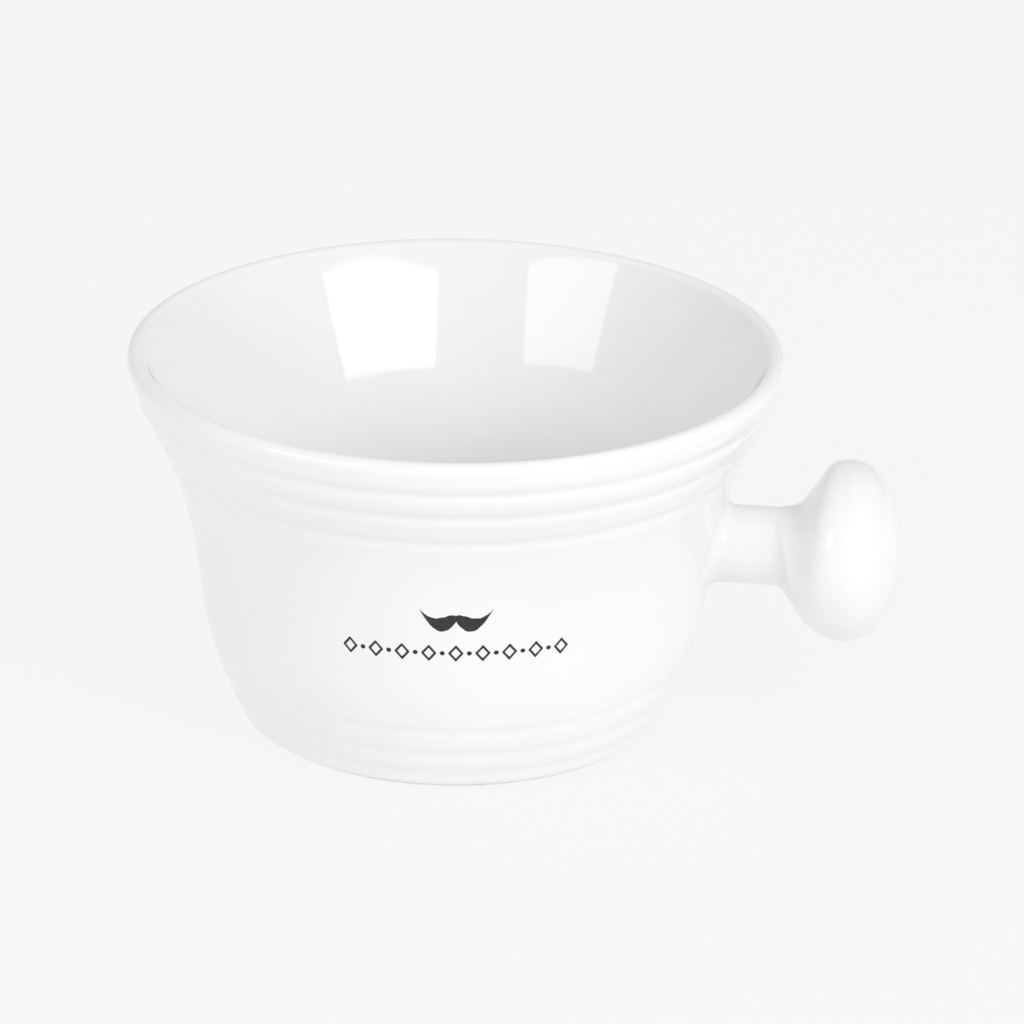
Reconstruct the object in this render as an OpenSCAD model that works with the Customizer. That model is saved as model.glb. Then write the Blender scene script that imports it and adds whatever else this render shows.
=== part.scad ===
// Shaving mug with a knob handle: slip-cast porcelain, glazed, with a two-part printed ornament.
// Origin at the centre of the foot, +Z up, handle along +X, ornament towards -Y.

/* [Bowl] */
// Outside diameter of the rim
rim_d = 120; // [112:0.5:128]
// Height from the resting face to the top of the lip
height = 70.7; // [68:0.1:76]
// Outside diameter of the wall, run down to the resting face
foot_d = 78.4; // [72:0.1:82]
// Outside diameter at the waist, where the wall is steepest
waist_d = 93.6; // [90:0.1:96]
// Height of the waist
waist_z = 24; // [22:0.5:26]
// Outside diameter at the shoulder, where the wall flares most
shoulder_d = 110.2; // [107:0.1:111]
// Height of the shoulder
shoulder_z = 56; // [54:0.5:58]
// Thickness of the rounded lip
lip_t = 3.4; // [2.8:0.1:4.2]
// Growth of the outside radius with height, just under the lip
lip_flare = 0.17; // [0.1:0.01:0.3]

/* [Inside] */
// Inside diameter where the wall starts to round into the floor
inside_d = 87.2; // [85:0.1:88]
// Growth of the inside radius with height, just under the lip
inside_flare = 0.52; // [0.4:0.01:0.56]
// Height of the inside floor above the resting face
floor_z = 8.6; // [7.6:0.1:11]
// Height over which the inside wall rounds into the floor
corner_h = 21; // [16:0.5:26]
// Squareness of that corner, where 2 is an ellipse
corner_power = 2.3; // [2:0.1:3]

/* [Grooves] */
// Distance from a groove's middle to where it is a third as deep
groove_w = 1.1; // [0.7:0.1:1.4]
// Depth of the three grooves that leave two ribs under the lip
rib_groove_depth = 0.45; // [0.2:0.05:0.7]
// Depth of the three fine grooves above the foot
base_groove_depth = 0.2; // [0.1:0.05:0.5]

/* [Foot] */
// Radial width of the bare ring that the mug stands on
foot_ring_w = 4; // [3:0.1:6]
// Distance that the bare ring stands in from the wall
foot_inset = 0.9; // [0.7:0.1:1.2]
// Depth of the recess inside the foot ring
recess_h = 3; // [2:0.1:3.6]
// Height of the wiped, unglazed band at the bottom of the foot
bare_h = 0.9; // [0.6:0.1:1.5]

/* [Handle] */
// Height of the handle's axis
handle_z = 35; // [33:0.5:37]
// Diameter of the neck
neck_d = 14.5; // [12:0.1:16]
// Distance from the bowl's axis to where the neck starts to flare
flare_x = 59; // [57:0.1:60]
// Distance from the bowl's axis to the knob's widest circle
knob_x = 72.8; // [71:0.1:74]
// Largest diameter of the knob
knob_d = 33.6; // [31:0.1:36]
// Length of the rounded end beyond the widest circle
knob_dome = 10; // [8:0.1:12]
// Distance that the top of the knob's back stands further from the bowl than the underside
back_lean = 2.6; // [2:0.1:4]
// Thickness of the hollow handle's clay
handle_wall = 3.4; // [3:0.1:4]
// Diameter of the vent that lets hot air out of the handle in the kiln
vent_d = 2; // [1.5:0.1:2.5]
// Distance from the slip fillet to the vent's middle
vent_gap = 2.5; // [2:0.1:3.5]
// Radius of the slip fillet where the neck meets the bowl
root_fillet = 2.4; // [2:0.1:3]

/* [Glaze] */
// Thickness of the glaze
glaze_t = 0.3; // [0.2:0.05:0.4]

/* [Ornament] */
// Thickness of the printed ornament
print_t = 0.1; // [0.06:0.01:0.15]
// Turn of the ornament from -Y towards the handle, in degrees
print_turn = 8; // [-15:1:15]
// Width of the moustache
moustache_w = 13.2; // [10:0.1:15]
// Depth to which the moustache droops on each side
moustache_droop = 1.5; // [1:0.1:2]
// Height to which its tips curl up
moustache_curl = 2.2; // [1.5:0.1:3]
// Thickness of the moustache in the middle and of the bulge on each side
moustache_t = [1.24, 2.7]; // [1:0.02:3]
// Height of the middle of the moustache
moustache_z = 37.4; // [36:0.1:39]
// Height of the row of lozenges
row_z = 30.2; // [29:0.1:31]
// Number of lozenges in the row
lozenge_count = 9; // [5:2:11]
// Angle between neighbouring lozenges, in degrees
lozenge_pitch = 5.8; // [5.4:0.1:6.4]
// Width and height of a lozenge
lozenge_size = [2.9, 3.5]; // [2:0.1:4]
// Width of the line that draws a lozenge
line_w = 0.62; // [0.4:0.02:0.8]
// Diameter of the dots between the lozenges
dot_d = 0.95; // [0.6:0.05:1.3]

/* [Hidden] */
$fn = 240;

lip_r = lip_t / 2;
lip_centre = [rim_d / 2 - lip_r, height - lip_r];
// The lip is a round whose ends run straight on into the flared walls.
lip_angles = [-atan(lip_flare), 180 - atan(inside_flare)];
lip_ends = [for (a = lip_angles) lip_centre + lip_r * [cos(a), sin(a)]];
neck_r = neck_d / 2;
knob_r = knob_d / 2;
// Distance from the bowl's axis, buried in the bowl, where the handle's outlines start.
buried_x = 44;

// Stations of the outside wall: height, radius, slope of the radius with height.
foot_station = [0, foot_d / 2, 0.48];
waist_station = [waist_z, waist_d / 2, 0.095];
shoulder_station = [shoulder_z, shoulder_d / 2, 0.51];
lip_station = [lip_ends[0][1], lip_ends[0][0], lip_flare];

// Turned grooves: height, depth.
rib_grooves = [[64.5, rib_groove_depth], [59.4, rib_groove_depth], [53.4, 0.8 * rib_groove_depth]];
base_grooves = [[13.1, base_groove_depth], [8, base_groove_depth], [3.4, base_groove_depth]];
grooves = concat(rib_grooves, base_grooves);

// ---- Curves ----

function steps(from, to, count) = [for (i = [0 : count]) from + (to - from) * i / count];
function reversed(list) = [for (i = [len(list) - 1 : -1 : 0]) list[i]];
function part_of(list, from, to) = [for (i = [from : to]) list[i]];
function sum(list) = list * [for (item = list) 1];

function hermite(a, b, z) =
    let (span = b[0] - a[0], t = (z - a[0]) / span)
    (1 + 2 * t) * pow(1 - t, 2) * a[1] + t * pow(1 - t, 2) * span * a[2]
    + pow(t, 2) * (3 - 2 * t) * b[1] - pow(t, 2) * (1 - t) * span * b[2];

function bezier(p, t) =
    pow(1 - t, 3) * p[0] + 3 * t * pow(1 - t, 2) * p[1]
    + 3 * pow(t, 2) * (1 - t) * p[2] + pow(t, 3) * p[3];

function arc(centre, radius, from, to, count) =
    [for (a = steps(from, to, count)) centre + radius * [cos(a), sin(a)]];

// Each point of a path moved to its left by a distance.
function shifted(path, distance) =
    let (last = len(path) - 1)
    [for (i = [0 : last])
        let (along = path[min(i + 1, last)] - path[max(i - 1, 0)])
        path[i] + distance * [-along[1], along[0]] / norm(along)];

// ---- Outline of the bowl, up the outside, over the lip and down to the floor ----

function smooth_wall_r(z) =
    z < waist_z ? hermite(foot_station, waist_station, z)
    : z < shoulder_z ? hermite(waist_station, shoulder_station, z)
    : hermite(shoulder_station, lip_station, z);

function groove_depth(z) = sum([for (g = grooves) g[1] * exp(-pow((z - g[0]) / groove_w, 2))]);
function wall_r(z) = smooth_wall_r(z) - groove_depth(z);

outside_heights = concat(steps(bare_h, 15, 24), steps(17, 49, 12), steps(50.4, 68, 25));
outside_path = concat([for (z = outside_heights) [wall_r(z), z]],
                      arc(lip_centre, lip_r, lip_angles[0], 90, 7));

// Stations of the inside wall, which flares steadily from the rounded corner to the lip.
corner_top = floor_z + corner_h;
corner_station = [corner_top, inside_d / 2, 0];
inside_lip_station = [lip_ends[1][1], lip_ends[1][0], inside_flare];
function inside_r(z) = hermite(corner_station, inside_lip_station, z);

function corner_point(a) =
    [inside_d / 2 * pow(cos(a), 2 / corner_power),
     corner_top - corner_h * pow(sin(a), 2 / corner_power)];

inside_path = concat(
    arc(lip_centre, lip_r, 90, lip_angles[1], 5),
    [for (z = steps(lip_ends[1][1] - 2.2, corner_top, 14)) [inside_r(z), z]],
    [for (a = steps(6, 84, 13)) corner_point(a)],
    [[0, floor_z]]);

// The clay lies one glaze thickness below the glazed surface.
clay_outside = shifted(outside_path, glaze_t);
clay_inside = concat(
    [clay_outside[len(clay_outside) - 1]],
    part_of(shifted(inside_path, glaze_t), 1, len(inside_path) - 2),
    [[0, floor_z - glaze_t]]);

// ---- Outline under the foot, from the axis out to the resting ring ----

ring_out_r = foot_d / 2 - foot_inset;
ring_in_r = ring_out_r - foot_ring_w;
recess_corner = 1.6;
recess_crown = 0.3;
recess_side = 0.35;
foot_chamfer = 0.3;
recess_path = concat(
    [[0, recess_h + recess_crown], [ring_in_r / 2, recess_h + recess_crown * 2 / 3]],
    arc([ring_in_r - recess_corner - recess_side, recess_h - recess_corner],
        recess_corner, 90, 0, 6),
    [[ring_in_r - recess_side, bare_h]]);
clay_recess = concat([[0, recess_h + recess_crown + glaze_t]],
                     part_of(shifted(recess_path, glaze_t), 1, len(recess_path) - 1));
foot_ring = [[ring_in_r, foot_chamfer], [ring_in_r + foot_chamfer, 0],
             [ring_out_r - foot_chamfer, 0], [ring_out_r, foot_chamfer / 2]];

module bowl_outer_clay() {
    rotate_extrude() polygon(concat([[0, bare_h]], clay_outside, [[0, height - glaze_t]]));
}

module bowl_body() {
    color("white")
        rotate_extrude()
            polygon(concat(clay_outside, part_of(clay_inside, 1, len(clay_inside) - 1),
                           clay_recess, foot_ring));
}

module inside_glaze() {
    color("snow") rotate_extrude() polygon(concat(inside_path, reversed(clay_inside)));
}

module foot_recess_glaze() {
    color("snow") rotate_extrude() polygon(concat(recess_path, reversed(clay_recess)));
}

// ---- Handle: outlines as [distance from the bowl's axis, radius] about the handle's axis ----

// The knob's back swells from the neck in one curve, steepest at this distance.
swell_x = flare_x + 4.75;
knob_back = [[flare_x, neck_r], [swell_x, neck_r], [swell_x, knob_r], [knob_x, knob_r]];
knob_path = concat(
    [for (t = steps(0, 1, 16)) bezier(knob_back, t)],
    [for (a = steps(82, 2, 12)) [knob_x + knob_dome * cos(a), knob_r * sin(a)]],
    [[knob_x + knob_dome, 0]]);

function knob_inset(distance) = concat(
    [[buried_x, neck_r - distance]],
    part_of(shifted(knob_path, -distance), 0, len(knob_path) - 2),
    [[knob_x + knob_dome - distance, 0]]);

// Outline that leaves the knob whole underneath and takes a leaning cut off the top of its back.
// It clears the neck by a small margin all round.
neck_clearance = 0.2;
lean_room = back_lean + neck_clearance;
lean_start = buried_x - back_lean - 1;
lean_end = knob_x + knob_dome + 1;
lean_path = concat([[lean_start, neck_r + lean_room]],
                   [for (t = steps(0, 1, 16)) bezier(knob_back, t) + [0, lean_room]],
                   [[lean_end, knob_r + lean_room]]);

module about_handle_axis(path) {
    translate([0, 0, handle_z])
        rotate([0, 90, 0])
            rotate_extrude()
                polygon([for (p = path) [p[1], p[0]]]);
}

// Trims its children to the knob's leaning back, inset by a distance.
module lean_back(inset) {
    intersection() {
        children();
        translate([back_lean, 0, -back_lean])
            about_handle_axis(concat([[lean_start, 0]], shifted(lean_path, -inset), [[lean_end, 0]]));
    }
}

module handle_solid(inset) {
    lean_back(inset)
        about_handle_axis(concat([[buried_x, 0]], knob_inset(inset)));
}

// Distance from the bowl's axis to the wall just under the handle, where the fillet is widest.
root_x = wall_r(handle_z - neck_r - root_fillet);

// The fillet's own outline, a quarter circle between the wall and the neck.
module root_solid(inset) {
    outline = arc([root_x + root_fillet, neck_r + root_fillet], root_fillet + inset, 270, 180, 8);
    about_handle_axis(concat([[buried_x, 0], [root_x + root_fillet, 0]],
                             outline,
                             [[buried_x, neck_r + root_fillet]]));
}

// The hollow runs from near the bowl to the knob's end, one clay thickness inside the surface.
module handle_hollow() {
    inset = glaze_t + handle_wall;
    hollow_x = wall_r(handle_z) + handle_wall / 2;
    lean_back(inset)
        about_handle_axis(concat([[hollow_x, 0], [hollow_x, neck_r - inset]],
                                 part_of(knob_inset(inset), 1, len(knob_path))));
}

module vent() {
    translate([root_x + root_fillet + vent_gap, 0, handle_z - 2 * neck_r])
        cylinder(d = vent_d, h = 2 * neck_r);
}

module knob_handle() {
    color("white")
        difference() {
            handle_solid(glaze_t);
            bowl_outer_clay();
            handle_hollow();
            vent();
        }
}

module handle_joint_slip() {
    color("ivory")
        difference() {
            root_solid(glaze_t);
            bowl_outer_clay();
            handle_solid(glaze_t);
        }
}

module outside_glaze() {
    color("snow")
        difference() {
            union() {
                rotate_extrude() polygon(concat(outside_path, reversed(clay_outside)));
                difference() {
                    union() {
                        handle_solid(0);
                        root_solid(0);
                    }
                    bowl_outer_clay();
                }
            }
            handle_solid(glaze_t);
            root_solid(glaze_t);
            vent();
        }
}

// ---- Printed ornament, wrapped on the glazed wall ----

module print_layer(low, high) {
    heights = steps(low, high, 5);
    rotate_extrude()
        polygon(concat([for (z = heights) [wall_r(z), z]],
                       [for (z = reversed(heights)) [wall_r(z) + print_t, z]]));
}

// A flat shape in the XZ plane, pushed out through the wall at an angle from the ornament's middle.
module stamp(turn, z) {
    rotate([0, 0, print_turn + turn])
        translate([0, -foot_d / 2, z])
            rotate([90, 0, 0])
                linear_extrude(height = rim_d / 2 - foot_d / 2)
                    children();
}

// The moustache's middle line droops on each side of the centre and curls up to a pointed tip.
function hair_line(t) =
    [t * moustache_w / 2, moustache_curl * pow(abs(t), 3) - moustache_droop * sin(170 * abs(t))];
function hair_half_t(t) =
    moustache_t[0] / 2 * (1 - t)
    + moustache_t[1] / 2 * sin(180 * pow(t, 0.75)) * (1 - 0.35 * t);

module moustache() {
    near_tips = steps(-0.98, 0.98, 36);
    upper = [for (t = near_tips) hair_line(t) + [0, hair_half_t(abs(t))]];
    lower = [for (t = near_tips) hair_line(t) - [0, hair_half_t(abs(t))]];
    polygon(concat([hair_line(-1)], upper, [hair_line(1)], reversed(lower)));
}

module moustache_print() {
    room = moustache_w / 3;
    color("black")
        intersection() {
            print_layer(moustache_z - room, moustache_z + room);
            stamp(0, moustache_z) moustache();
        }
}

module lozenge(size) {
    polygon([[size[0] / 2, 0], [0, size[1] / 2], [-size[0] / 2, 0], [0, -size[1] / 2]]);
}

module lozenge_outline() {
    difference() {
        lozenge(lozenge_size);
        lozenge(lozenge_size * (1 - 2 * line_w / min(lozenge_size)));
    }
}

module lozenge_row_print() {
    first = -(lozenge_count - 1) / 2 * lozenge_pitch;
    color("black")
        intersection() {
            print_layer(row_z - lozenge_size[1] * 0.7, row_z + lozenge_size[1] * 0.7);
            union() {
                for (i = [0 : lozenge_count - 1])
                    stamp(first + i * lozenge_pitch, row_z) lozenge_outline();
                for (i = [0 : lozenge_count - 2])
                    stamp(first + (i + 0.5) * lozenge_pitch, row_z) circle(d = dot_d, $fn = 24);
            }
        }
}

bowl_body();
knob_handle();
handle_joint_slip();
inside_glaze();
outside_glaze();
foot_recess_glaze();
moustache_print();
lozenge_row_print();
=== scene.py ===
import math

import bpy
from mathutils import Matrix, Vector, noise


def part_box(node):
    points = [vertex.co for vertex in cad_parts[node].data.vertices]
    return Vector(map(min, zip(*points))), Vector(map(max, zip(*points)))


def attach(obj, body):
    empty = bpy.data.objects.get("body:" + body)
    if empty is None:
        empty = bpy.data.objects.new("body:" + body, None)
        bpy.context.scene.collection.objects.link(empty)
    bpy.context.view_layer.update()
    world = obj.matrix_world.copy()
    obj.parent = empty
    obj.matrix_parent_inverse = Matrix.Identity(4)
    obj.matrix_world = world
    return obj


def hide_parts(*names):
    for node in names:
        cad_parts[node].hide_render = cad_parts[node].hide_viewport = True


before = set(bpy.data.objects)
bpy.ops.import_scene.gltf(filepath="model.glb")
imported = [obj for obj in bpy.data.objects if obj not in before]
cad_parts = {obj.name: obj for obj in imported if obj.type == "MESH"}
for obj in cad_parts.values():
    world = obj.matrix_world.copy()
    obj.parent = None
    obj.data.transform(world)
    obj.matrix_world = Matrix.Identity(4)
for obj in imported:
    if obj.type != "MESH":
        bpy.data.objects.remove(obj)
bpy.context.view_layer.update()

# The mug's looks: a glossy glaze over bowl, fillet and knob handle, a bare foot ring and a printed
# ornament. Shapes are worked out in millimetres, and become metres when a mesh is made.

MM = 0.001


def box_mm(node):
    low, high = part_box(node)
    return Vector(low) / MM, Vector(high) / MM


# ---- Sizes that the frame gives ----

skin_low, skin_high = box_mm("outside_glaze")
handle_low, handle_high = box_mm("knob_handle")
lozenges_low, lozenges_high = box_mm("lozenge_row_print")

GLAZE_T = 0.3
HEIGHT = skin_high.z
RIM_R = skin_high.y
BARE_H = skin_low.z
HANDLE_Z = (handle_low.z + handle_high.z) / 2
KNOB_R = (handle_high.z - handle_low.z) / 2 + GLAZE_T
KNOB_TIP_X = skin_high.x
ROW_Z = (lozenges_low.z + lozenges_high.z) / 2
LOZENGE_H = lozenges_high.z - lozenges_low.z

# ---- Sizes that repeat the design's own ----

LIP_R = 1.7
LIP_FLARE = 0.17
INSIDE_FLARE = 0.52
INSIDE_R = 43.6
FLOOR_Z = 8.6
CORNER_H = 21
CORNER_POWER = 2.3
GROOVE_W = 1.1
GROOVES = [(64.5, 0.45), (59.4, 0.45), (53.4, 0.36), (13.1, 0.2), (8, 0.2), (3.4, 0.2)]
FOOT_STATION = (0, 39.2, 0.48)
WAIST_STATION = (24, 46.8, 0.095)
SHOULDER_STATION = (56, 55.1, 0.51)
RING_OUT_R = 38.3
RING_IN_R = 34.3
RECESS_H = 3
NECK_R = 7.25
FILLET_R = 2.4
FLARE_X = 59
SWELL_X = 63.75
KNOB_X = 72.8
BACK_LEAN = 2.6
NECK_CLEARANCE = 0.2
VENT_R = 1
VENT_GAP = 2.5
PRINT_TURN = 8
MOUSTACHE_W = 13.2
MOUSTACHE_Z = 37.4
MOUSTACHE_CURL = 2.2
MOUSTACHE_DROOP = 1.5
MOUSTACHE_MIDDLE_HALF_T = 0.62
MOUSTACHE_BULGE_HALF_T = 1.35
LOZENGE_COUNT = 9
LOZENGE_PITCH = 5.8
LOZENGE_W = 2.9
LINE_W = 0.62
DOT_R = 0.475

# ---- Fineness of the meshes ----

# The bowl's grid has a rectangular gap round the handle's root, which reaches so many segments to
# each side of the handle's axis and so far over and under it. The handle's rings have one point for
# each place round the gap's border.
SEGMENTS = 192
ROOT_HALF_SEGMENTS = 9
ROOT_HALF_H = 14
HANDLE_SEGMENTS = 8 * ROOT_HALF_SEGMENTS


# ---- Curves ----

def steps(first, last, count):
    """Evenly spaced values from the first to the last, in so many steps."""
    return [first + (last - first) * i / count for i in range(count + 1)]


def smooth_step(first, last, value):
    t = min(max((value - first) / (last - first), 0), 1)
    return t * t * (3 - 2 * t)


def hermite(a, b, z):
    """Radius at height z between two stations of (height, radius, slope)."""
    span = b[0] - a[0]
    t = (z - a[0]) / span
    return ((1 + 2 * t) * (1 - t) ** 2 * a[1] + t * (1 - t) ** 2 * span * a[2]
            + t * t * (3 - 2 * t) * b[1] - t * t * (1 - t) * span * b[2])


def bezier(a, b, c, d, t):
    s = 1 - t
    return a * s ** 3 + b * 3 * s * s * t + c * 3 * s * t * t + d * t ** 3


def arc(centre, radius, first, last, count):
    """Points on an arc between two angles in degrees."""
    return [(centre[0] + radius * math.cos(math.radians(a)),
             centre[1] + radius * math.sin(math.radians(a)))
            for a in steps(first, last, count)]


def shifted(path, distance):
    """Each point of a path moved to its left by a distance."""
    moved = []
    for i, (r, z) in enumerate(path):
        after = path[min(i + 1, len(path) - 1)]
        before = path[max(i - 1, 0)]
        along = Vector((after[0] - before[0], after[1] - before[1])).normalized()
        moved.append((r - distance * along.y, z + distance * along.x))
    return moved


# ---- Outlines of the bowl, as (radius, height) ----

LIP_CENTRE = (RIM_R - LIP_R, HEIGHT - LIP_R)
LIP_OUT_ANGLE = -math.degrees(math.atan(LIP_FLARE))
LIP_IN_ANGLE = 180 - math.degrees(math.atan(INSIDE_FLARE))
lip_out = arc(LIP_CENTRE, LIP_R, LIP_OUT_ANGLE, 90, 16)
lip_in = arc(LIP_CENTRE, LIP_R, 102, LIP_IN_ANGLE, 8)
# The inside glaze starts a hair under the outside glaze, so that no gap shows between them.
LIP_TUCK = 0.02
lip_tucked = arc(LIP_CENTRE, LIP_R - LIP_TUCK, 82, 94, 4)
LIP_STATION = (lip_out[0][1], lip_out[0][0], LIP_FLARE)
INSIDE_LIP_STATION = (lip_in[-1][1], lip_in[-1][0], INSIDE_FLARE)
CORNER_STATION = (FLOOR_Z + CORNER_H, INSIDE_R, 0)


def wall_r(z):
    """Outside radius of the wall, with its turned grooves."""
    if z < WAIST_STATION[0]:
        smooth = hermite(FOOT_STATION, WAIST_STATION, z)
    elif z < SHOULDER_STATION[0]:
        smooth = hermite(WAIST_STATION, SHOULDER_STATION, z)
    else:
        smooth = hermite(SHOULDER_STATION, LIP_STATION, z)
    return smooth - sum(depth * math.exp(-((z - middle) / GROOVE_W) ** 2)
                        for middle, depth in GROOVES)


def glaze_edge(z):
    """How far the glaze pulls back where it was wiped off above the bare foot."""
    height = 0.7
    depth = 0.2
    below_top = max(0, (BARE_H + height - z) / height)
    return depth * (1 - math.sqrt(1 - below_top ** 2))


def corner_point(angle):
    """A point of the squared round between the inside wall and the floor."""
    a = math.radians(angle)
    return (INSIDE_R * math.cos(a) ** (2 / CORNER_POWER),
            FLOOR_Z + CORNER_H - CORNER_H * math.sin(a) ** (2 / CORNER_POWER))


ROOT_LOW = HANDLE_Z - ROOT_HALF_H
ROOT_HIGH = HANDLE_Z + ROOT_HALF_H
GROOVED_TOP = 15.4
low_heights = steps(BARE_H, GROOVED_TOP, 44)[:-1] + steps(GROOVED_TOP, ROOT_LOW, 6)[:-1]
root_heights = steps(ROOT_LOW, ROOT_HIGH, 2 * ROOT_HALF_SEGMENTS)
high_heights = steps(ROOT_HIGH, LIP_STATION[0], 54)[1:-1]
wall_heights = low_heights + root_heights + high_heights
outside_path = [(wall_r(z) - glaze_edge(z), z) for z in wall_heights] + lip_out
inside_path = (lip_tucked + lip_in
               + [(hermite(CORNER_STATION, INSIDE_LIP_STATION, z), z)
                  for z in steps(INSIDE_LIP_STATION[0], CORNER_STATION[0], 40)[1:]]
               + [corner_point(a) for a in steps(3, 87, 40)]
               + [(0, FLOOR_Z)])

RECESS_CORNER = 1.6
RECESS_CROWN = 0.3
RECESS_SIDE = 0.35
recess_corner_centre = (RING_IN_R - RECESS_CORNER - RECESS_SIDE, RECESS_H - RECESS_CORNER)
recess_path = ([(0, RECESS_H + RECESS_CROWN)]
               + [(r, RECESS_H + RECESS_CROWN * (1 - (r / RING_IN_R) ** 2))
                  for r in steps(3, 30, 9)]
               + arc(recess_corner_centre, RECESS_CORNER, 90, 0, 10)
               + [(RING_IN_R - RECESS_SIDE, z)
                  for z in steps(RECESS_H - RECESS_CORNER, BARE_H, 4)[1:]])

# The clay lies under the glaze, a hair deeper, so that the two never meet in the same place. At the
# top of the lip the inside outline's first points stand in for the outside outline's last ones.
CLAY_DEPTH = GLAZE_T + 0.02
FOOT_ROUND = 0.3
OVERLAP_POINTS = 3
bare_wall = [(wall_r(z), z) for z in wall_heights] + lip_out
foot_ring = (arc((RING_IN_R + FOOT_ROUND, FOOT_ROUND), FOOT_ROUND, 180, 270, 6)
             + [(r, 0) for r in steps(RING_IN_R + 2 * FOOT_ROUND, RING_OUT_R - 2 * FOOT_ROUND, 6)]
             + arc((RING_OUT_R - FOOT_ROUND, FOOT_ROUND), FOOT_ROUND, 270, 360, 6))
clay_path = ([(0, RECESS_H + RECESS_CROWN + CLAY_DEPTH)] + shifted(recess_path, CLAY_DEPTH)[1:]
             + foot_ring
             + shifted(bare_wall, CLAY_DEPTH)[:-OVERLAP_POINTS]
             + shifted(inside_path, CLAY_DEPTH)[:-1]
             + [(0, FLOOR_Z - CLAY_DEPTH)])


# ---- Surfaces ----

def ripple(place):
    """Slight unevenness of the glazed surface, fading out at the foot and at the top of the lip."""
    fade_h = 6
    fade = smooth_step(BARE_H, fade_h, place.z) * smooth_step(HEIGHT, HEIGHT - fade_h, place.z)
    broad = 0.045 * noise.noise(place / 32)
    fine = 0.014 * noise.noise(place / 11)
    return fade * (broad + fine)


def turned(r, z, degrees):
    """The point of a lathe outline at an angle from +X, with the surface's unevenness.

    The unevenness fades out towards the axis, where all angles meet.
    """
    outward = Vector((math.cos(math.radians(degrees)), math.sin(math.radians(degrees)), 0))
    place = outward * r + Vector((0, 0, z))
    fade_r = 10
    return place + outward * ripple(place) * min(1, r / fade_r)


def x_on_wall(y, z):
    """Where the outside wall is, in front of a point in the YZ plane, on the handle's side."""
    r = wall_r(z)
    place = turned(r, z, math.degrees(math.asin(y / r)))
    return math.sqrt(place.x ** 2 + place.y ** 2 - y ** 2)


class Sheet:
    """An open surface: points in millimetres, and faces that run anticlockwise seen from outside.

    glaze_t and fixed_normals hold a point's own thickness or normal, by the point's index.
    """

    def __init__(self):
        self.points = []
        self.faces = []
        self.glaze_t = {}
        self.fixed_normals = {}

    def add(self, point):
        self.points.append(Vector(point))
        return len(self.points) - 1

    def strip(self, first, second, closed=True):
        """Faces between two rows of points, where the second lies to the left of the first."""
        count = len(first)
        for i in range(count if closed else count - 1):
            j = (i + 1) % count
            self.faces.append((first[i], first[j], second[j], second[i]))

    def fan(self, ring, middle):
        for i, point in enumerate(ring):
            self.faces.append((point, ring[(i + 1) % len(ring)], middle))

    def lathe(self, path):
        """Turns an outline about the bowl's axis. A point on the axis is one point."""
        rings = []
        for r, z in path:
            if r == 0:
                rings.append([self.add((0, 0, z))])
            else:
                rings.append([self.add(turned(r, z, 360 * i / SEGMENTS)) for i in range(SEGMENTS)])
        for lower, upper in zip(rings, rings[1:]):
            if len(lower) == 1:
                self.fan(upper[::-1], lower[0])
            elif len(upper) == 1:
                self.fan(lower, upper[0])
            else:
                self.strip(lower, upper)

    def normals(self):
        """Each point's outward direction, from the faces around it."""
        found = [Vector() for _ in self.points]
        for face in self.faces:
            corners = [self.points[i] for i in face]
            facing = (corners[2] - corners[0]).cross(corners[-1] - corners[1])
            for i in face:
                found[i] += facing
        found = [direction.normalized() for direction in found]
        for i, direction in self.fixed_normals.items():
            found[i] = direction
        return found


def hole_border(left, right, low, high):
    """The places (column, row) round a rectangle of a grid, anticlockwise from its lower left."""
    return ([(u, low) for u in range(left, right)]
            + [(right, v) for v in range(low, high)]
            + [(u, high) for u in range(right, left, -1)]
            + [(left, v) for v in range(high, low, -1)])


# ---- Meshes and pieces ----

def finish_piece(name, points, faces, material, loop_normals=None):
    """Makes the mesh, and puts it on the mug's one body."""
    mesh = bpy.data.meshes.new(name)
    mesh.from_pydata([tuple(point * MM) for point in points], [], faces)
    mesh.shade_smooth()
    if loop_normals:
        mesh.normals_split_custom_set(loop_normals)
    else:
        mesh.set_sharp_from_angle(angle=math.radians(50))
    mesh.materials.append(material)
    piece = bpy.data.objects.new(name, mesh)
    bpy.context.scene.collection.objects.link(piece)
    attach(piece, "root")
    return piece


def shell(name, sheet, thickness, material):
    """A closed piece that reaches from the sheet inwards, by sheet.glaze_t where that is given."""
    count = len(sheet.points)
    out = sheet.normals()
    inner = [point - direction * sheet.glaze_t.get(i, thickness)
             for i, (point, direction) in enumerate(zip(sheet.points, out))]
    points = sheet.points + inner
    edges = {(face[i - 1], face[i]) for face in sheet.faces for i in range(len(face))}
    rim = [(b, a, a + count, b + count) for a, b in sorted(edges) if (b, a) not in edges]
    inner_faces = [tuple(i + count for i in reversed(face)) for face in sheet.faces]
    loop_normals = [out[i] for face in sheet.faces for i in face]
    loop_normals += [-out[i - count] for face in inner_faces for i in face]
    for face in rim:
        corners = [points[i] for i in face]
        facing = (corners[2] - corners[0]).cross(corners[3] - corners[1]).normalized()
        loop_normals += [facing] * 4
    return finish_piece(name, points, sheet.faces + inner_faces + rim, material, loop_normals)


# ---- Outside glaze: bowl, fillet, neck and knob as one skin ----

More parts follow.
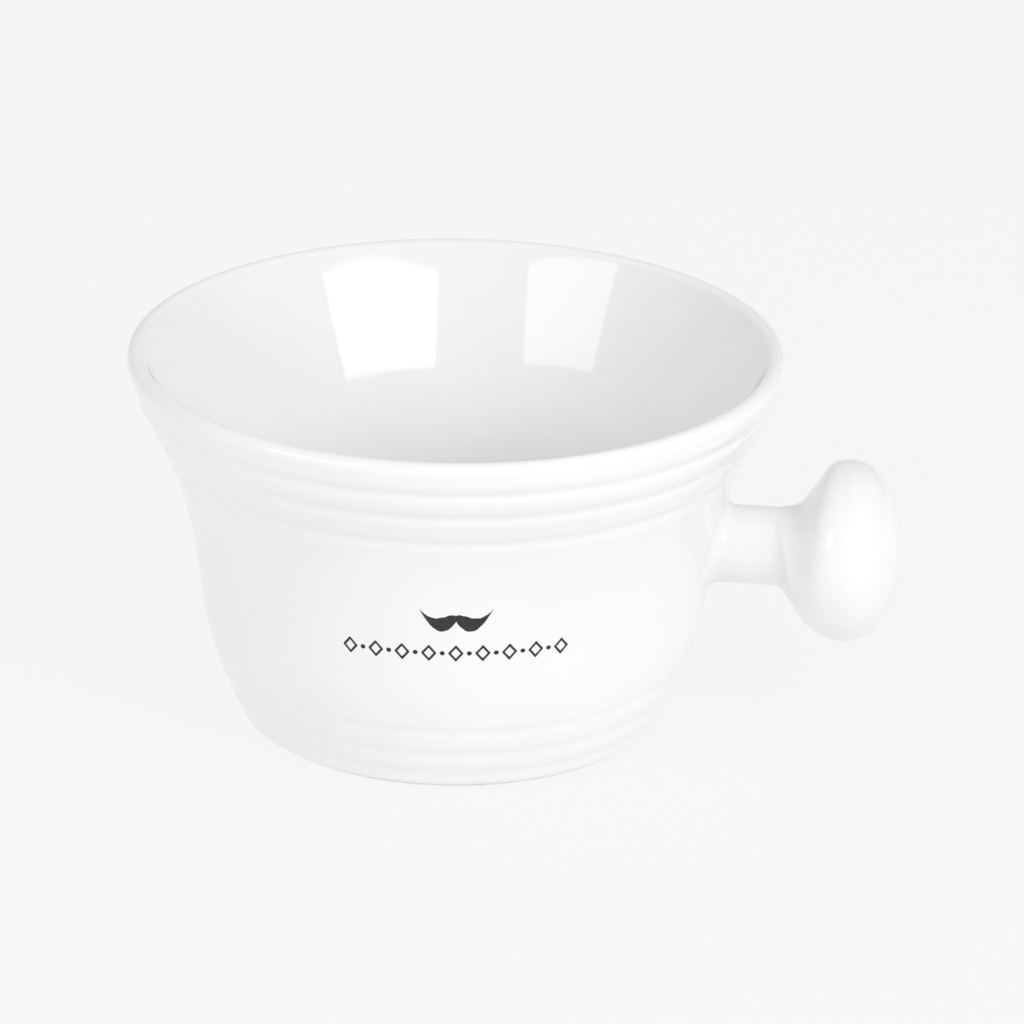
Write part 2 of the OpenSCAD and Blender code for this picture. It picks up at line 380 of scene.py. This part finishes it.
def add_bowl(sheet):
    """The bowl's outside with a rectangular gap where the handle is. Returns the gap's border."""
    root_low = len(low_heights)
    root_high = root_low + len(root_heights) - 1
    half = ROOT_HALF_SEGMENTS
    grid = {}
    for v, (r, z) in enumerate(outside_path):
        for u in range(-half, SEGMENTS - half):
            if not (root_low < v < root_high and -half < u < half):
                grid[u, v] = sheet.add(turned(r, z, 360 * u / SEGMENTS))
                sheet.glaze_t[grid[u, v]] = GLAZE_T - glaze_edge(z)
        grid[SEGMENTS - half, v] = grid[-half, v]
    for v in range(len(outside_path) - 1):
        for u in range(-half, SEGMENTS - half):
            if not (root_low <= v < root_high and u < half):
                sheet.faces.append((grid[u, v], grid[u + 1, v], grid[u + 1, v + 1], grid[u, v + 1]))
    for u in range(-half, SEGMENTS - half):
        sheet.fixed_normals[grid[u, len(outside_path) - 1]] = Vector((0, 0, 1))
    return [grid[place] for place in hole_border(-half, half, root_low, root_high)]


def angle_round(i, count):
    """Angle of the i-th of so many points round a ring, which starts at its lower left."""
    return math.radians(225 + 360 * i / count)


def about_handle(x, r, i):
    """The i-th point of a ring round the handle's axis, anticlockwise seen from the knob's end."""
    a = angle_round(i, HANDLE_SEGMENTS)
    place = Vector((x, r * math.cos(a), HANDLE_Z + r * math.sin(a)))
    outward = Vector((0, math.cos(a), math.sin(a)))
    return place + outward * ripple(place) * smooth_step(FLARE_X, KNOB_X, x)


def on_wall_about_handle(r, i):
    """The i-th point of a ring round the handle's axis, where it meets the bowl's wall."""
    place = about_handle(0, r, i)
    return Vector((x_on_wall(place.y, place.z), place.y, place.z))


# Reach of a curve's handles, as a share of the radius, that makes it a quarter circle.
QUARTER_CIRCLE_REACH = 0.5523


def add_root(sheet, border):
    """The bowl's wall in from the border, then the fillet. Returns the neck's first ring."""
    targets = [on_wall_about_handle(NECK_R + FILLET_R, i) for i in range(HANDLE_SEGMENTS)]
    ring = border
    for t in steps(0, 1, 7)[1:]:
        flat = [sheet.points[b].lerp(target, t) for b, target in zip(border, targets)]
        following = [sheet.add((x_on_wall(p.y, p.z), p.y, p.z)) for p in flat]
        sheet.strip(ring, following)
        ring = following
    reach = QUARTER_CIRCLE_REACH * FILLET_R
    nudge = 0.1
    along = Vector((1, 0, 0))
    curves = []
    for i, target in enumerate(targets):
        inwards = (on_wall_about_handle(NECK_R + FILLET_R - nudge, i) - target).normalized()
        end_x = on_wall_about_handle(NECK_R, i).x + FILLET_R
        end = about_handle(end_x, NECK_R, i)
        curves.append((target, target + inwards * reach, end - along * reach, end))
    for t in steps(0, 1, 9)[1:]:
        following = [sheet.add(bezier(*curve, t)) for curve in curves]
        sheet.strip(ring, following)
        ring = following
    return ring


def vent_point(i, count, centre_x):
    """The i-th point round the vent's mouth, on the underside of the neck."""
    a = angle_round(i, count)
    y = VENT_R * math.cos(a)
    return (centre_x + VENT_R * math.sin(a), y, HANDLE_Z - math.sqrt(NECK_R ** 2 - y ** 2))


def back_x_at(r):
    """Where the knob's back has that radius. Below the neck's radius a steep line carries on."""
    steepness = 6
    share = min((r - NECK_R) / (KNOB_R - NECK_R), 1)
    if share < 0:
        return FLARE_X + steepness * (r - NECK_R)
    t = 0.5 - math.sin(math.asin(1 - 2 * share) / 3)
    return bezier(FLARE_X, SWELL_X, SWELL_X, KNOB_X, t)


# The crease of the knob's leaning back is rounded over a length: the least, and how much more where
# it is softest. Rounding cuts into the clay, so the back is also shifted towards the bowl there.
CREASE = 0.8
CREASE_MORE = 1.8
CREASE_SHIFT = 0.38


def leaning_x(x, r, i, softness):
    """Moves a point of the knob's back away from the bowl where the leaning cut trims it."""
    a = angle_round(i, HANDLE_SEGMENTS)
    cut_r = math.hypot(r * math.cos(a), r * math.sin(a) + BACK_LEAN)
    cut_x = BACK_LEAN + back_x_at(cut_r - BACK_LEAN - NECK_CLEARANCE)
    crease = CREASE + CREASE_MORE * softness
    overlap = max(crease - abs(x - cut_x), 0) / crease
    return max(x, cut_x) + overlap ** 2 * crease / 4 - CREASE_SHIFT * softness


def add_neck(sheet, first_ring):
    """The neck up to where it flares, with the vent underneath. Returns its last ring."""
    rows = 13
    vent_rows = (1, 5)
    under = HANDLE_SEGMENTS // 8
    vent_columns = (under - 2, under + 2)
    starts = [sheet.points[i].x for i in first_ring]
    grid = {(u, 0): index for u, index in enumerate(first_ring)}
    for v in range(1, rows + 1):
        for u, start in enumerate(starts):
            x = start + (leaning_x(FLARE_X, NECK_R, u, 0) - start) * v / rows
            in_vent = vent_rows[0] < v < vent_rows[1] and vent_columns[0] < u < vent_columns[1]
            if not in_vent:
                grid[u, v] = sheet.add(about_handle(x, NECK_R, u))
    for v in range(rows):
        for u in range(HANDLE_SEGMENTS):
            w = (u + 1) % HANDLE_SEGMENTS
            in_vent = vent_rows[0] <= v < vent_rows[1] and vent_columns[0] <= u < vent_columns[1]
            if not in_vent:
                sheet.faces.append((grid[u, v], grid[w, v], grid[w, v + 1], grid[u, v + 1]))
    border = [grid[place] for place in hole_border(*vent_columns, *vent_rows)]
    vent_x = wall_r(HANDLE_Z - NECK_R - FILLET_R) + FILLET_R + VENT_GAP
    mouth = [sheet.add(vent_point(i, len(border), vent_x)) for i in range(len(border))]
    sheet.strip(border, mouth)
    return [grid[u, rows] for u in range(HANDLE_SEGMENTS)]


def add_knob(sheet, first_ring):
    """The knob's back and domed end. The lean is softest halfway up the back and fades above that."""
    back = [Vector(p) for p in ((FLARE_X, NECK_R), (SWELL_X, NECK_R),
                                (SWELL_X, KNOB_R), (KNOB_X, KNOB_R))]
    dome = KNOB_TIP_X - KNOB_X
    ring = first_ring
    for t in steps(0, 1, 40)[1:]:
        x, r = bezier(*back, t)
        softness = math.sin(math.pi * t)
        share = smooth_step(1, 0.5, t)
        following = []
        for i in range(HANDLE_SEGMENTS):
            leaning = leaning_x(x, r, i, softness)
            following.append(sheet.add(about_handle(x + (leaning - x) * share, r, i)))
        sheet.strip(ring, following)
        ring = following
    for a in steps(87, 3, 28):
        x = KNOB_X + dome * math.cos(math.radians(a))
        r = KNOB_R * math.sin(math.radians(a))
        following = [sheet.add(about_handle(x, r, i)) for i in range(HANDLE_SEGMENTS)]
        sheet.strip(ring, following)
        ring = following
    sheet.fan(ring, sheet.add((KNOB_TIP_X, 0, HANDLE_Z)))


def make_outside_glaze(material):
    sheet = Sheet()
    border = add_bowl(sheet)
    neck_start = add_root(sheet, border)
    neck_end = add_neck(sheet, neck_start)
    add_knob(sheet, neck_end)
    return shell("outside_glaze_skin", sheet, GLAZE_T, material)


# ---- Inside glaze, foot recess glaze and clay ----

def make_inside_glaze(material):
    sheet = Sheet()
    sheet.lathe(inside_path)
    return shell("inside_glaze_skin", sheet, GLAZE_T, material)


def make_recess_glaze(material):
    sheet = Sheet()
    sheet.lathe(recess_path)
    return shell("foot_recess_skin", sheet, GLAZE_T, material)


def make_clay(material):
    sheet = Sheet()
    sheet.lathe(clay_path)
    return finish_piece("bowl_clay", sheet.points, sheet.faces, material)


# ---- Printed ornament ----

PRINT_LIFT = 0.03
PRINT_SUNK = 0.08


def printed_point(turn, across, z, lift):
    """A point of the print, so far across from a middle that is turned by an angle."""
    r = wall_r(z)
    degrees = PRINT_TURN - 90 + turn + math.degrees(math.asin(across / r))
    return turned(r + lift, z, degrees)


def ink_lift(s):
    """Height of the ink over the glaze across a line, from edge to edge as s runs from -1 to 1."""
    sunk_edge = -0.25
    return PRINT_LIFT * ((1 - sunk_edge) * (1 - abs(s) ** 3) + sunk_edge)


def hair_line(t):
    """Height of the moustache's middle line, where t runs from one tip, -1, to the other, 1."""
    return MOUSTACHE_CURL * abs(t) ** 3 - MOUSTACHE_DROOP * math.sin(math.radians(170 * abs(t)))


def hair_half_t(t):
    """Half the moustache's thickness, fullest a little out from the middle."""
    bulge = math.sin(math.pi * abs(t) ** 0.75) * (1 - 0.35 * abs(t))
    return MOUSTACHE_MIDDLE_HALF_T * (1 - abs(t)) + MOUSTACHE_BULGE_HALF_T * bulge


def make_moustache(material):
    """The moustache as rows of points from tip to tip, closer together near its ends and edges."""
    sheet = Sheet()
    tip = 0.97
    across = [math.sin(math.pi / 2 * t) for t in steps(-tip, tip, 90)]
    previous = None
    for s in [math.sin(math.pi / 2 * t) for t in steps(-1, 1, 10)]:
        row = []
        for t in across:
            z = MOUSTACHE_Z + hair_line(t) + s * hair_half_t(t)
            row.append(sheet.add(printed_point(0, t * MOUSTACHE_W / 2, z, ink_lift(s))))
        if previous:
            sheet.strip(previous, row, closed=False)
        previous = row
    return shell("moustache_ink", sheet, PRINT_SUNK, material)


def lozenge_outline(half_w, half_h, corner):
    """Points round a lozenge, anticlockwise. A corner's round takes up that share of a side."""
    tips = [Vector((half_w, 0)), Vector((0, half_h)), Vector((-half_w, 0)), Vector((0, -half_h))]
    outline = []
    for i, tip in enumerate(tips):
        before = tip.lerp(tips[i - 1], corner)
        after = tip.lerp(tips[(i + 1) % 4], corner)
        outline += [before.lerp(tip, t).lerp(tip.lerp(after, t), t) for t in steps(0, 1, 6)]
    return outline


def add_lozenge(sheet, turn):
    """A lozenge drawn as a line, with its outer corners rounded more than its inner ones."""
    inner_scale = 1 - 2 * LINE_W / LOZENGE_W
    outer = lozenge_outline(LOZENGE_W / 2, LOZENGE_H / 2, 0.1)
    inner = lozenge_outline(LOZENGE_W / 2 * inner_scale, LOZENGE_H / 2 * inner_scale, 0.06)
    previous = None
    for s in steps(-1, 1, 6):
        points = [a.lerp(b, (s + 1) / 2) for a, b in zip(outer, inner)]
        row = [sheet.add(printed_point(turn, p.x, ROW_Z + p.y, ink_lift(s))) for p in points]
        if previous:
            sheet.strip(previous, row)
        previous = row


def add_dot(sheet, turn):
    previous = None
    for s in (1, 0.8, 0.5):
        circle = arc((0, ROW_Z), DOT_R * s, 0, 345, 23)
        row = [sheet.add(printed_point(turn, x, z, ink_lift(s))) for x, z in circle]
        if previous:
            sheet.strip(previous, row)
        previous = row
    sheet.fan(previous, sheet.add(printed_point(turn, 0, ROW_Z, ink_lift(0))))


def make_lozenge_row(material):
    sheet = Sheet()
    first = -(LOZENGE_COUNT - 1) / 2 * LOZENGE_PITCH
    for i in range(LOZENGE_COUNT):
        add_lozenge(sheet, first + i * LOZENGE_PITCH)
    for i in range(LOZENGE_COUNT - 1):
        add_dot(sheet, first + (i + 0.5) * LOZENGE_PITCH)
    return shell("lozenge_row_ink", sheet, PRINT_SUNK, material)


# ---- Materials ----

class Nodes:
    """Short ways to add and link shader nodes in one material."""

    def __init__(self, name):
        self.material = bpy.data.materials.new(name)
        self.material.use_nodes = True
        self.tree = self.material.node_tree
        self.shader = self.tree.nodes["Principled BSDF"]
        self.place = self.add("ShaderNodeTexCoord").outputs["Object"]

    def add(self, kind, **settings):
        node = self.tree.nodes.new(kind)
        for key, value in settings.items():
            setattr(node, key, value)
        return node

    def link(self, output, socket):
        self.tree.links.new(output, socket)

    def noise(self, size_mm, detail=2.0, roughness=0.5):
        """Noise whose blotches are about size_mm across."""
        node = self.add("ShaderNodeTexNoise")
        self.link(self.place, node.inputs["Vector"])
        node.inputs["Scale"].default_value = 1 / (size_mm * MM)
        node.inputs["Detail"].default_value = detail
        node.inputs["Roughness"].default_value = roughness
        return node.outputs["Fac"]

    def specks(self, size_mm, spacing_mm, share):
        """1 inside small round specks, in a share of the cells of a grid with that spacing."""
        cells = self.add("ShaderNodeTexVoronoi")
        self.link(self.place, cells.inputs["Vector"])
        cells.inputs["Scale"].default_value = 1 / (spacing_mm * MM)
        radius = 0.5 * size_mm / spacing_mm
        near = self.ramp(cells.outputs["Distance"], (0.7 * radius, 1), (radius, 0))
        chosen = self.add("ShaderNodeMath", operation="GREATER_THAN")
        split = self.add("ShaderNodeSeparateColor")
        self.link(cells.outputs["Color"], split.inputs["Color"])
        self.link(split.outputs["Red"], chosen.inputs[0])
        chosen.inputs[1].default_value = 1 - share
        both = self.add("ShaderNodeMath", operation="MULTIPLY")
        self.link(near, both.inputs[0])
        self.link(chosen.outputs[0], both.inputs[1])
        return both.outputs[0]

    def ramp(self, output, first, last):
        """Maps a value from first[0]..last[0] to first[1]..last[1]."""
        node = self.add("ShaderNodeMapRange")
        self.link(output, node.inputs["Value"])
        node.inputs["From Min"].default_value, node.inputs["To Min"].default_value = first
        node.inputs["From Max"].default_value, node.inputs["To Max"].default_value = last
        return node.outputs["Result"]

    def mix(self, factor, first, second):
        """A colour between two, each a colour or another node's output.

        A mix node has sockets for numbers, vectors and colours. The colours are 6, 7 and output 2.
        """
        node = self.add("ShaderNodeMix", data_type="RGBA")
        self.link(factor, node.inputs["Factor"])
        for socket, colour in ((node.inputs[6], first), (node.inputs[7], second)):
            if isinstance(colour, tuple):
                socket.default_value = (*colour, 1)
            else:
                self.link(colour, socket)
        return node.outputs[2]

    def bump(self, output, depth_mm, base=None):
        """Bumps of that depth, on top of another bump if one is given."""
        node = self.add("ShaderNodeBump")
        node.inputs["Distance"].default_value = depth_mm * MM
        self.link(output, node.inputs["Height"])
        if base:
            self.link(base, node.inputs["Normal"])
        return node.outputs["Normal"]


def white_glaze():
    """Clear glossy glaze on white porcelain, with faint clouding, tiny specks and orange peel."""
    nodes = Nodes("white_glaze")
    clouds = nodes.ramp(nodes.noise(26), (0.3, 0), (0.7, 1))
    body = nodes.mix(clouds, (0.868, 0.866, 0.858), (0.882, 0.881, 0.876))
    specked = nodes.mix(nodes.specks(0.22, 5, 0.06), body, (0.42, 0.38, 0.33))
    nodes.link(specked, nodes.shader.inputs["Base Color"])
    nodes.link(nodes.ramp(nodes.noise(9, detail=4), (0.3, 0.035), (0.7, 0.075)),
               nodes.shader.inputs["Roughness"])
    peel = nodes.bump(nodes.noise(2.6, detail=1), 0.0022)
    nodes.link(nodes.bump(nodes.noise(0.5, detail=2), 0.0003, peel), nodes.shader.inputs["Normal"])
    nodes.shader.inputs["IOR"].default_value = 1.52
    return nodes.material


def bare_porcelain():
    """Matt unglazed body of the foot ring, fine grained and a little soiled."""
    nodes = Nodes("bare_porcelain")
    soil = nodes.ramp(nodes.noise(3.5, detail=6, roughness=0.62), (0.42, 0), (0.72, 1))
    body = nodes.mix(soil, (0.86, 0.845, 0.81), (0.70, 0.67, 0.61))
    specked = nodes.mix(nodes.specks(0.3, 1.6, 0.1), body, (0.30, 0.26, 0.22))
    nodes.link(specked, nodes.shader.inputs["Base Color"])
    nodes.link(nodes.ramp(soil, (0, 0.82), (1, 0.6)), nodes.shader.inputs["Roughness"])
    coarse = nodes.bump(nodes.noise(0.9, detail=4), 0.02)
    fine = nodes.bump(nodes.noise(0.18, detail=3), 0.008, coarse)
    nodes.link(fine, nodes.shader.inputs["Normal"])
    nodes.shader.inputs["IOR"].default_value = 1.5
    return nodes.material


def black_print():
    """Fired black transfer: satin, a little thin and mottled where the ink took unevenly."""
    nodes = Nodes("black_print")
    thin = nodes.ramp(nodes.noise(1.1, detail=5, roughness=0.6), (0.5, 0), (0.8, 1))
    ink = nodes.mix(thin, (0.012, 0.012, 0.013), (0.05, 0.049, 0.048))
    nodes.link(ink, nodes.shader.inputs["Base Color"])
    nodes.link(nodes.ramp(nodes.noise(0.8, detail=4), (0.3, 0.2), (0.7, 0.36)),
               nodes.shader.inputs["Roughness"])
    nodes.link(nodes.bump(nodes.noise(0.25, detail=3), 0.002), nodes.shader.inputs["Normal"])
    nodes.shader.inputs["IOR"].default_value = 1.5
    return nodes.material


# ---- The mug ----

glaze = white_glaze()
porcelain = bare_porcelain()
ink = black_print()
for piece, node, slot in (
        (make_outside_glaze(glaze), "outside_glaze", "white_glaze"),
        (make_inside_glaze(glaze), "inside_glaze", "white_glaze"),
        (make_recess_glaze(glaze), "foot_recess_glaze", "white_glaze"),
        (make_clay(porcelain), "bowl_body", "bare_porcelain"),
        (make_moustache(ink), "moustache_print", "black_print"),
        (make_lozenge_row(ink), "lozenge_row_print", "black_print")):
    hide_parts(node)
for node in ("knob_handle", "handle_joint_slip"):
    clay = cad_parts[node]
    clay.data.materials.clear()
    clay.data.materials.append(porcelain)


# ---- Studio ----

def from_mug(degrees, elevation, distance):
    """A place seen from the mug at an angle from -Y towards +X, and an elevation."""
    a = math.radians(degrees)
    e = math.radians(elevation)
    return distance * Vector((math.sin(a) * math.cos(e), -math.cos(a) * math.cos(e), math.sin(e)))


def softbox(name, degrees, elevation, distance, size, strength, roll=0):
    """A rectangular light that faces the mug, whose strength is its radiance."""
    light = bpy.data.lights.new(name, "AREA")
    light.shape = "RECTANGLE"
    light.size, light.size_y = size
    light.energy = strength * math.pi * size[0] * size[1]
    lamp = bpy.data.objects.new(name, light)
    lamp.location = from_mug(degrees, elevation, distance) + Vector((0, 0, HEIGHT / 2 * MM))
    facing = (-from_mug(degrees, elevation, 1)).to_track_quat("-Z", "Y").to_matrix()
    lamp.rotation_euler = (facing @ Matrix.Rotation(math.radians(roll), 3, "Z")).to_euler()
    bpy.context.scene.collection.objects.link(lamp)
    return lamp


def make_floor():
    """A table that gives off light and reflects little, so the mug casts only a faint shadow."""
    reach = 4
    albedo = 0.08
    corners = [(-reach, -reach, 0), (reach, -reach, 0), (reach, reach, 0), (-reach, reach, 0)]
    mesh = bpy.data.meshes.new("floor")
    mesh.from_pydata(corners, [], [(0, 1, 2, 3)])
    nodes = Nodes("pale_floor")
    nodes.shader.inputs["Base Color"].default_value = (albedo, albedo, albedo, 1)
    nodes.shader.inputs["Roughness"].default_value = 1
    nodes.shader.inputs["Specular IOR Level"].default_value = 0
    nodes.shader.inputs["Emission Color"].default_value = (1, 1, 1, 1)
    nodes.shader.inputs["Emission Strength"].default_value = 0.85
    mesh.materials.append(nodes.material)
    floor = bpy.data.objects.new("floor", mesh)
    bpy.context.scene.collection.objects.link(floor)


def make_world():
    world = bpy.data.worlds.new("studio")
    world.use_nodes = True
    background = world.node_tree.nodes["Background"]
    background.inputs["Color"].default_value = (1, 1, 1, 1)
    background.inputs["Strength"].default_value = 0.68
    bpy.context.scene.world = world


def make_camera():
    """A long lens that looks down on the mug from the front left of its handle."""
    camera = bpy.data.objects.new("camera", bpy.data.cameras.new("camera"))
    camera.data.sensor_width = 36
    camera.data.lens = 198.39
    camera.data.clip_end = 20
    place = Matrix.Translation(Vector((125.8, -955.7, 430.8)) * MM)
    pan = Matrix.Rotation(math.radians(6.872), 4, "Z")
    tilt = Matrix.Rotation(math.radians(90 - 22.168), 4, "X")
    roll = Matrix.Rotation(math.radians(0.777), 4, "Z")
    camera.matrix_world = place @ pan @ tilt @ roll
    bpy.context.scene.collection.objects.link(camera)
    bpy.context.scene.camera = camera


make_camera()
make_floor()
make_world()
softbox("softbox_right", 39.9, 27.5, 0.8, (0.605, 0.267), 3.08, roll=-6.9)
softbox("softbox_left", -41.5, 27.4, 0.8, (0.455, 0.24), 2.3, roll=7.2)
softbox("soft_fill", 52, 44, 1.2, (0.9, 0.9), 1).visible_glossy = False
bpy.context.scene.view_settings.view_transform = "Standard"
